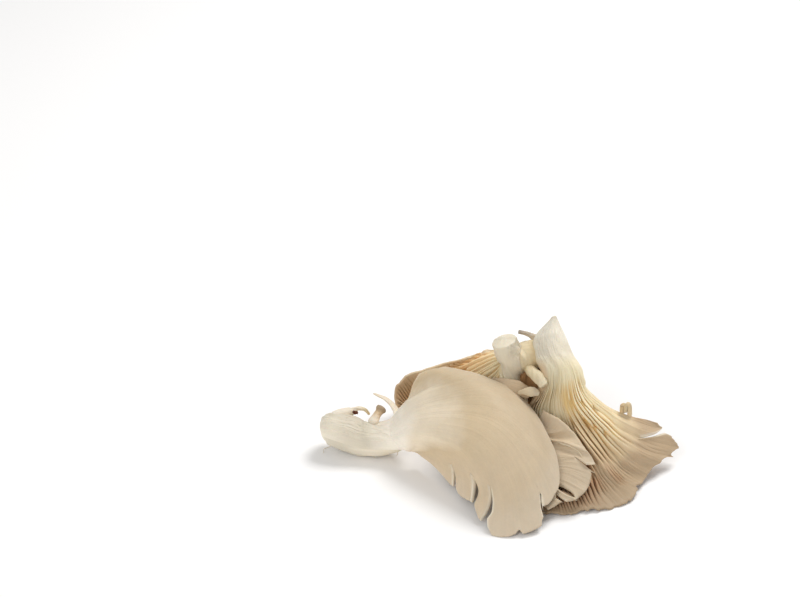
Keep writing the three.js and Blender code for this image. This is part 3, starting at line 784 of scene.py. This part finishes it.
# ---- The front mushroom: cap side up, its stem lying to the left ----
FRONT = dict(nodes=["front_mushroom"], slot="cap")
FACING_CAMERA = (0, -0.7, 0.7)
sheet_piece(
    "front_flesh", front_flesh, **FRONT,
    rows=sheet_rows([
        ((-82.35, 17, 10.5), (0.3, 1, 0), 5.6),
        ((-79.5, 15.5, 11.3), (0.3, 1, 0), 7.2),
        ((-71.5, 13.8, 10.2), (0.2, 1, 0), 8.5),
        ((-63.5, 12, 8.3), (0.1, 1, 0), 8),
        ((-49, 10.4, 12), (-0.1, 1, 0.38), 8.5),
    ], [
        [
            (-43.4, 19.2, 22.4), (-41, 17.9, 25.6), (-37.8, 15.4, 28.2), (-37.5, 12, 30), (-36, 8, 29),
            (-35, 4, 27.5), (-35, 1, 25), (-36, -0.5, 21), (-38.5, 1, 15), (-42, 3.5, 9),
        ],
        [
            (-40.4, 21.4, 33.4), (-35, 20, 37.8), (-26, 16, 40), (-17, 10.5, 40), (-9, 2.5, 38.5),
            (-6, -7, 35), (-10, -15, 30.5), (-16, -17, 24.5), (-26, -7, 17), (-39.5, 3.5, 8.5),
        ],
        [
            (-38.6, 21.9, 37.6), (-29, 21, 41), (-14, 17, 41.2), (-1, 10.5, 37.5), (9, -3.5, 32.5),
            (13, -20, 25), (3.5, -32.5, 19), (-7.5, -32.5, 15), (-20.5, -14, 11), (-37.5, 3, 7),
        ],
        [
            (-36.2, 21.6, 40), (-24.5, 22, 41.6), (-5, 17.5, 38.6), (12, 12, 29.5), (22.5, -9, 22),
            (24.5, -32, 10.5), (8, -49.5, 1.2), (-9.5, -44, 1.4), (-20.5, -22, 3), (-36, 1.5, 5),
        ],
    ]),
    thickness=[10.5, 14.5, 16.8, 16.8, 11.8, 6.8, 5.5, 3.6, 1.3],
    section=[2, 2.3, 2.1, 2, 2.4, 4, 7, 9, 9],
    neck=4.2 / 8,
    margin=[
        [0, 1], [0.09, 1.005], [0.11, 0.98], [0.13, 1, 0.8], [0.2, 1], [0.27, 0.985], [0.3, 1, 0.6],
        [0.33, 0.985], [0.43, 0.985], [0.46, 1.01], [0.52, 1], [0.54, 0.998], [0.56, 0.982], [0.58, 0.974],
        [0.59, 0.962], [0.5955, 0.955], [0.5965, 1], [0.603, 1.005], [0.607, 1.026], [0.632, 1.01],
        [0.652, 1], [0.66, 0.97], [0.67, 0.985], [0.69, 1], [0.72, 1.017], [0.735, 1.02], [0.745, 0.98],
        [0.76, 0.975], [0.78, 0.965], [0.795, 0.95], [0.806, 0.92], [0.82, 0.925], [0.84, 0.964],
        [0.86, 0.987], [0.875, 1], [0.887, 0.975], [0.9, 0.99], [0.92, 0.99], [0.94, 0.96], [0.96, 0.93],
        [0.98, 0.915], [1, 0.915],
    ],
    cuts=[
        slit(0.596, 0.952, [
            [0.93, 0, 0, 0, 0], [0.952, -0.9, -0.9, 0, 0], [0.966, -0.4, 0.1, 0.1, -0.3],
            [0.98, 0.2, 0.9, 0.1, -0.5], [1, 0.4, 1.1, 0, -0.5],
        ]),
        slit(0.745, 0.873, [
            [0.87, 0, 0, 0, 0], [0.885, 0, 0, 0.3, -0.2], [0.92, -0.9, 0.9, 1.2, -0.9],
            [0.945, -1, 2.0, 1.3, -1.2], [0.97, 1, 3.7, 1.0, -1.0], [1, 0, 6.2, 0.8, -0.8],
        ], spread=8.5),
        slit(0.806, 0.845, [
            [0.84, 0, 0, 0, 0], [0.855, 0, 0, -0.2, 0.2], [0.87, -0.9, -0.2, -0.6, 0.4],
            [0.9, -2, 0.4, -0.8, 0.7], [0.92, -1.6, 0.8, -0.8, 0.7], [0.955, 0.3, 1.3, -0.5, 0.6],
            [0.975, -0.3, 1.5, -0.4, 0.4], [1, -0.5, 1.8, -0.3, 0.3],
        ]),
        slit(0.887, 0.85, [
            [0.845, 0, 0, 0, 0], [0.862, 0, 0, -0.1, 0.1], [0.95, -0.45, 0.25, -0.5, 0.5],
            [0.98, -0.7, 0.5, -0.5, 0.4], [1, -1, 0.9, -0.4, 0.3],
        ]),
    ],
    gills=dict(
        side=-1, count=34, depth=2.2, start=0.5, rise=0.15, split=0.8, lowest=0.6,
        wander=0.3, broken=0.1,
    ),
    columns=308, steps=124, dome=1.4, uneven=0.7,
    wave=0.35, frill=0.004, fibre=0.22, lump=0.35, grain=0.05, seed=11,
)
stalk_piece(
    "hooked_strip",
    [
        (-79, 18.5, 15.5), (-74.5, 20.5, 16.4), (-70.2, 22, 16.6), (-66.9, 23, 17.6), (-63.7, 23.3, 16.9),
        (-61.4, 23, 14),
    ],
    [2.6, 2.6, 1.9, 0.95, 0.8, 0.5], "hook", **FRONT, seed=3,
)
stalk_piece(
    "button_sprout",
    [(-60.4, 14, 14.5), (-58.6, 17, 16.5), (-57.3, 19.2, 17.6), (-56, 20.6, 18.9), (-55, 21.6, 19.9)],
    [3.2, 2.1, 1.8, 2.4, 2.4], "button", **FRONT, seed=5, end=0.16,
)
stalk_piece(
    "torn_shred",
    [
        (-46, 15.5, 15.5), (-47.7, 17.5, 17.5), (-49.1, 19.5, 19.7), (-50.9, 21.5, 21.4),
        (-53.7, 23.5, 22.9), (-56.5, 24.5, 23.9), (-59.7, 25.4, 24.9),
    ],
    [3, 2.7, 2.1, 1.8, 1.5, 1.1, 0.8], "white", **FRONT, flat=0.5, seed=7,
)
# a small dark bead as painted shadow in the hole under the hooked strip
stalk_piece(
    "hole_shadow_bead", [(-69.3, 19.3, 18.6), (-68, 19.5, 17.9), (-66.7, 19.5, 17.6)], [0.5, 0.8, 0.4],
    "hole_shadow", **FRONT, seed=6, bump=0.3,
)
stalk_piece(
    "back_lobe",
    [(-5, 17.6, 38.2), (-0.3, 16.8, 37.9), (5.2, 15.2, 36.7), (9.9, 14, 35.3), (14, 12.6, 33.6)],
    [1, 2, 3.2, 3.3, 2.2], "lobe", **FRONT, flat=0.28, seed=8, bump=0.25,
    reference=FACING_CAMERA,
)
stalk_piece(
    "raised_flap",
    [(7.7, 11.8, 35.2), (11.1, 11, 36.5), (14.3, 10.4, 36.9), (17.8, 10.1, 36)],
    [0.4, 1.6, 2.3, 1], "flap", **FRONT, flat=0.3, seed=9, reference=FACING_CAMERA,
)

HAIRS = {
    "left_hair": [(-77.4, 15, 4), (-79.6, 15, 1.6), (-81.6, 14.6, 0.7), (-83, 13, 1.1), (-83.1, 10, 1)],
    "middle_hair": [(-61.6, 9, 4), (-60.2, 8, 2.4), (-59.4, 7, 1.4), (-58.7, 6, 1.5)],
    "right_hair": [(-47.4, 10, 6), (-47.9, 9, 3.7), (-48.1, 7.4, 2.8), (-48.6, 6, 2.5)],
}
HAIR_RADII = [0.2, 0.16, 0.12]
HAIR_SEED = 60
for number, (hair, points) in enumerate(HAIRS.items()):
    stalk_piece(hair, points, HAIR_RADII, "white", **FRONT, seed=HAIR_SEED + number, bump=0.02)

# ---- The rear pair: two mushrooms grown together, gills up, their cut stems pointing up ----
REAR = dict(nodes=["rear_pair"], slot="gills")
sheet_piece(
    "right_fan_flesh", rear_flesh, **REAR,
    rows=sheet_rows([
        ((25.2, 38, 59.1), (1, 0, 0), 1.6),
        ((23.2, 30, 53.5), (1, 0, 0), 7.6),
        ((24.8, 23.5, 48), (1, 0, 0.1), 9),
        ((28.5, 16.5, 42), (1, 0.1, 0.2), 9.8),
    ], [
        [
            (38.3, 14.5, 36.8), (37.5, 10, 34), (35.5, 7.5, 31), (32, 8, 28), (26.5, 11.5, 25.5),
            (19.5, 14, 22.5), (12, 17, 19),
        ],
        [(49.5, 12, 27.5), (49.5, 4, 24), (46, -1, 20), (38, -4, 16.5), (30, -3, 13), (20, 1, 9), (9, 2, 7)],
        [(64, 11, 21.7), (66, 1, 15), (59, -9, 10), (47, -17, 8), (34, -20, 6), (20, -19, 4.5), (6, -14, 4)],
        [
            (74, 10, 19), (84, 4.5, 7.5), (73, -8, 1.6), (58, -26, 0.8), (40, -33, 0.6), (22, -36, 0.6),
            (4, -30, 1),
        ],
    ]),
    thickness=[4, 8, 9, 9, 6.5, 4.6, 3, 1.3],
    section=[2, 2, 2.2, 2.6, 5, 7, 9, 9],
    neck=3 / 7,
    margin=[
        [0, 1], [0.05, 0.995], [0.085, 1.01], [0.105, 1.008], [0.13, 0.99], [0.165, 0.998], [0.18, 1.0055],
        [0.197, 0.98], [0.218, 0.95], [0.225, 0.95], [0.233, 0.98], [0.24, 0.94], [0.25, 0.925],
        [0.3, 0.92], [0.355, 0.927], [0.4, 0.945], [0.43, 0.935], [0.436, 0.965], [0.47, 0.98],
        [0.5, 0.995], [0.54, 1], [0.6, 0.995], [0.66, 0.985], [0.675, 0.965], [0.69, 0.985], [0.715, 0.98],
        [1, 0.98],
    ],
    cuts=[
        slit(0.1, 0.84, [
            [0.64, 0, 0, 0, 0], [0.84, 5, 5, 0, 0], [0.853, 4.2, 4.2, 0.2, -0.2],
            [0.905, 1.2, 1.7, 0.9, -0.6], [0.955, -2.5, -1, 1, -0.8], [0.985, -5, -2.5, 0.8, -0.8],
            [1, -7, -1.5, 0.8, -0.8],
        ], spread=9.2),
    ],
    folds=[
        [0.1, 0.06, 1.5, 0.5, 0], [0.26, 0.05, 1.8, 0.4, 0], [0.38, 0.045, -1.5, 0.42, 0],
        [0.47, 0.04, 1.8, 0.4, 0], [0.56, 0.04, -1.4, 0.45, 0], [0.66, 0.05, 1.4, 0.42, 0],
        [0.82, 0.06, 1.2, 0.45, 0],
    ],
    gills=dict(
        side=1, count=27, depth=2.4, start=0.39, rise=0.28, split=0.83, lowest=0.45,
        wander=0.5, broken=0.6,
    ),
    # deep patches: taller gills with painted shade in their crevices and on their crests
    deep=[
        [0.97, 0.14, 0.36, 0.56, 0.9], [0.47, 0.13, 0.62, 0.82, 0.45], [0.455, 0.03, 0.86, 0.91, 0.7],
        [0.59, 0.08, 0.78, 0.9, 1], [0.77, 0.2, 0.89, 0.965, 1],
    ],
    calm=[
        [0.02, 0.16, 0.5, 1.2, 0.8], [0.1, 0.28, 0.76, 1.2, 0.9], [0.1, 0.4, 0.86, 1.2, 1],
        [0.42, 0.16, 0.95, 1.2, 0.8], [0.7, 0.2, 0.52, 0.8, 0.6],
    ],
    columns=360, steps=114, dome=1.0, uneven=0.5,
    wave=0.3, frill=0.01, fibre=0.15, lump=0.3, grain=0.08, seed=23,
)
sheet_piece(
    "left_fan_flesh", left_flesh, **REAR,
    rows=sheet_rows([
        ((1.5, 27, 54), (-0.3, -1, 0), 6),
        ((4, 27.5, 47), (-0.3, -1, 0), 7),
        ((7, 28, 40), (-0.3, -1, 0), 8),
    ], [
        [(13, 18.5, 27), (5, 19, 26), (-1, 22, 27), (-4, 27, 29), (-4, 34, 31), (0, 40, 34), (7, 43, 36)],
        [
            (10, 13, 14), (-6, 13, 14), (-16, 19, 14), (-21, 28, 15), (-19, 38, 20), (-11, 45, 26),
            (1, 48, 33),
        ],
        [
            (5, 8, 5), (-15, 10, 3), (-31, 18, 1.8), (-40, 31, 1.6), (-38.5, 43, 6.6), (-21, 49, 22),
            (-4, 51.2, 31),
        ],
        [
            (3, 6, 3), (-19, 8, 3), (-38, 20, 3), (-50.5, 35, 5), (-49.5, 43, 18.8), (-29.5, 49, 24.6),
            (-7, 51.6, 28.2),
        ],
    ]),
    thickness=[11, 13, 12, 8, 4.5, 3, 1.3],
    section=[2.2, 2, 2.2, 4, 8, 9, 9],
    neck=2.2 / 6,
    margin=[
        [0, 1], [0.15, 0.97], [0.3, 1], [0.4, 1], [0.5, 0.93], [0.56, 0.925], [0.6, 0.955],
        [0.66, 0.97, 0.5], [0.7, 0.98, -0.5], [0.78, 0.98], [0.85, 0.99], [1, 1],
    ],
    folds=[
        [0.2, 0.07, 1.4, 0.4, 0], [0.42, 0.06, -1.2, 0.45, 0], [0.6, 0.06, 1.3, 0.42, 0],
        [0.8, 0.06, 1.3, 0.42, 0],
    ],
    gills=dict(
        side=1, count=30, depth=2.2, start=0.3, rise=0.15, split=0.8, lowest=0.5,
        wander=0.5, broken=0.3,
    ),
    # a deep patch: taller gills and painted shade inside the left end of the fan
    deep=[[0.6, 0.13, 0.8, 1.2, 0.6]],
    pale_edge=0.85,
    columns=320, steps=90, dome=1.6, uneven=0.4,
    wave=0.4, frill=0.006, fibre=0.15, lump=0.3, grain=0.08, seed=37,
)
stalk_piece(
    "shared_neck", [(3, 29, 41), (14, 28.5, 44.5), (25.5, 25.5, 48)], [7, 7.2, 5],
    "neck", **REAR, seed=13, bump=0.6, end=0.15,
)
# the inner filler between the fans: its front is painted dark as painted shade
stalk_piece(
    "inner_web", [(6, 27, 36), (15, 25.5, 33), (24.5, 21, 33.5)], [3.8, 4, 2.4],
    "web_shaded_front", **REAR, flat=3.2, seed=14, bump=0.5, end=0.15,
)
stalk_piece(
    "club_sprout", [(13.5, 25, 41), (14, 19.8, 42), (16.6, 16, 42), (18.6, 12.8, 40.8), (19.8, 10.9, 39.4)],
    [2.4, 2.6, 2.8, 2.5, 1.9], "club", **REAR, seed=15, bump=0.25,
)
stalk_piece(
    "margin_curl",
    [
        (56.8, 10.3, 22.5), (56.4, 10.5, 28.2), (57.6, 10.7, 29), (58.2, 10.2, 25.5), (58.5, 10.5, 28.6),
        (59.3, 10.5, 29.7), (60.1, 10.5, 28), (60.4, 10.3, 22),
    ],
    [1, 0.9, 0.85, 0.85, 0.85, 0.95, 1, 1.2], "curl", **REAR, seed=17, bump=0.1,
)
stalk_piece(
    "broken_tip", [(18.5, 33, 50), (13.8, 34.5, 52.3), (8.5, 35.5, 53.5)], [2, 1.2, 1],
    "tip", **REAR, seed=19,
)

# ---- The middle mushroom: a small cap between the two, cap side up, its lobes lying on the right fan ----
MIDDLE = dict(nodes=["middle_mushroom"], slot="young_cap")
sheet_piece(
    "middle_flesh", young_flesh, **MIDDLE,
    rows=sheet_rows([
        ((-15, -13, 4), (0.2, 1, 0), 3.4),
        ((-9, -12.5, 6.5), (0.2, 1, 0), 4.6),
        ((1, -11, 13.5), (0.1, 1, 0.1), 5.6),
    ], [
        [
            (12, 2, 19), (14, -1, 19.5), (16, -5, 18), (17, -10, 16.4), (17, -15, 14.5), (16, -20, 11.8),
            (14, -25, 9.4), (11, -29, 7.6),
        ],
        [
            (17, 6, 22.5), (21.5, 1, 22.4), (26, -4, 21.5), (28.5, -9, 18.6), (29.5, -15, 15.5),
            (28, -21, 12.6), (23.5, -27, 9.3), (16, -32, 6.8),
        ],
        [
            (20, 8, 28), (24.5, 3, 29), (32, -3.5, 26.2), (37.5, -10, 20.8), (41.2, -17.5, 15.9),
            (39, -26.5, 10.8), (33, -33, 7.6), (20.5, -37, 4.8),
        ],
    ]),
    thickness=[6, 8, 8, 4.5, 3, 1.3],
    section=[2.2, 2, 2.2, 5, 9, 9],
    neck=2.2 / 5,
    margin=[
        [0, 1], [0.1, 0.97], [0.2, 1, 0.5], [0.3, 0.98], [0.4, 1, 0.8], [0.52, 1.03, 1], [0.56, 1.04, 0.6],
        [0.575, 0.98], [0.6, 0.985], [0.64, 1], [0.7, 1], [0.76, 1, 0.4], [0.79, 0.99], [0.83, 0.985],
        [0.86, 0.975], [0.889, 0.95], [0.891, 0.9], [0.92, 0.92], [0.94, 0.94], [0.96, 0.955], [1, 0.975],
    ],
    cuts=[
        slit(0.56, 0.87, [
            [0.76, 0, 0, 0, 0], [0.87, -2, -2, 0, 0], [0.885, -1.6, -1.6, 0.2, -0.2],
            [0.955, 1.4, 1.8, 0.8, -0.6], [1, 1.0, 3.4, 0.8, -0.8], [1.03, 0.5, 4, 0.8, -0.8],
        ], spread=5),
        slit(0.83, 0.795, [
            [0.76, 0, 0, 0, 0], [0.795, -1.6, -1.6, 0, 0.2], [0.83, -1.7, 0.3, 0, 0.7],
            [0.86, -1.8, 0.9, 0, 1], [0.92, -1.7, 1.2, 0.1, 1.1], [0.955, -1, 0.8, 0.1, 0.7],
            [0.975, 0, 0, 0.1, 0.2], [1, 0.1, 0.1, 0, 0],
        ], spread=5),
        slit(0.89, 0.85, [
            [0.82, 0, 0, 0, 0], [0.85, -1, -1, 0.2, -0.4], [0.88, -0.6, 0.6, 0.4, -0.8],
            [0.93, -0.3, 0.5, 0.4, -0.9], [1, -0.1, 0.4, 0.3, -0.8],
        ], spread=3),
    ],
    folds=[[0.235, 0.07, -1.5, 0.6, 0.3], [0.25, 0.04, 1.6, 0.6, 0.55], [0.42, 0.05, -0.8, 0.66, 0.35]],
    gills=dict(
        side=-1, count=24, depth=1.5, start=0.4, rise=0.15, split=0.8, lowest=0.6,
        wander=0.3, broken=0,
    ),
    columns=264, steps=80, dome=0.8, uneven=0.2,
    wave=0.2, frill=0.006, fibre=0.15, lump=0.2, grain=0.08, seed=51,
)
stalk_piece(
    "lobe_ridge",
    [(24.4, -7.2, 21.9), (27.4, -9, 21.7), (31.1, -10.4, 21.2), (34.9, -12.4, 19.9), (36.8, -15.6, 18.2)],
    [0.3, 0.55, 0.65, 0.55, 0.3], "ridge", **MIDDLE, flat=0.6, seed=22, bump=0.05,
)
stalk_piece(
    "curled_rim",
    [(24.4, -26.4, 8.9), (28, -28.2, 8.1), (31.5, -30.2, 7.3), (33.8, -32, 6.9)],
    [0.9, 1.5, 1.6, 0.8], "rim", **MIDDLE, flat=0.35, seed=21, bump=0.1,
)


# ---- Floor, light and camera ----
CAMERA_PLACE = Vector((-46.648, -773.899, 617.4)) * MM
CAMERA_TILT = 56  # degrees from straight down
LENS = 94.5
FLOOR_SIZE = 8
FLOOR_COLOUR = (252, 251, 250)
FLOOR_ROUGHNESS = 0.9
TARGET = Vector((0.0, 0.0, 0.02))
SOFTBOXES = (  # name, place and size in metres, power in watts
    ("key", (0.35, 0.45, 0.9), 0.5, 7.3),
    ("fill", (-0.7, -0.8, 0.8), 0.9, 5.6),
)
WORLD_LIGHT = 0.45


def add_floor():
    mesh = bpy.data.meshes.new("floor")
    half = FLOOR_SIZE / 2
    corners = [(-half, -half, 0), (half, -half, 0), (half, half, 0), (-half, half, 0)]
    mesh.from_pydata(corners, [], [(0, 1, 2, 3)])
    material = bpy.data.materials.new("floor")
    material.use_nodes = True
    shader = material.node_tree.nodes["Principled BSDF"]
    shader.inputs["Base Color"].default_value = colour(*FLOOR_COLOUR)
    shader.inputs["Roughness"].default_value = FLOOR_ROUGHNESS
    mesh.materials.append(material)
    floor = add_object("floor", mesh)


def add_softbox(name, place, size, power):
    light = bpy.data.lights.new(name, "AREA")
    light.shape = "DISK"
    light.size = size
    light.energy = power
    lamp = add_object(name, light)
    lamp.location = place
    lamp.rotation_euler = (TARGET - Vector(place)).to_track_quat("-Z", "Y").to_euler()


def add_camera():
    camera = bpy.data.cameras.new("camera")
    camera.lens = LENS
    holder = add_object("camera", camera)
    holder.location = CAMERA_PLACE
    holder.rotation_euler = (math.radians(CAMERA_TILT), 0, 0)
    bpy.context.scene.camera = holder


def add_world():
    world = bpy.data.worlds.new("studio")
    world.use_nodes = True
    background = world.node_tree.nodes["Background"]
    background.inputs["Color"].default_value = (1, 1, 1, 1)
    background.inputs["Strength"].default_value = WORLD_LIGHT
    bpy.context.scene.world = world


add_floor()
for softbox in SOFTBOXES:
    add_softbox(*softbox)
add_camera()
add_world()
bpy.context.scene.view_settings.view_transform = "Standard"
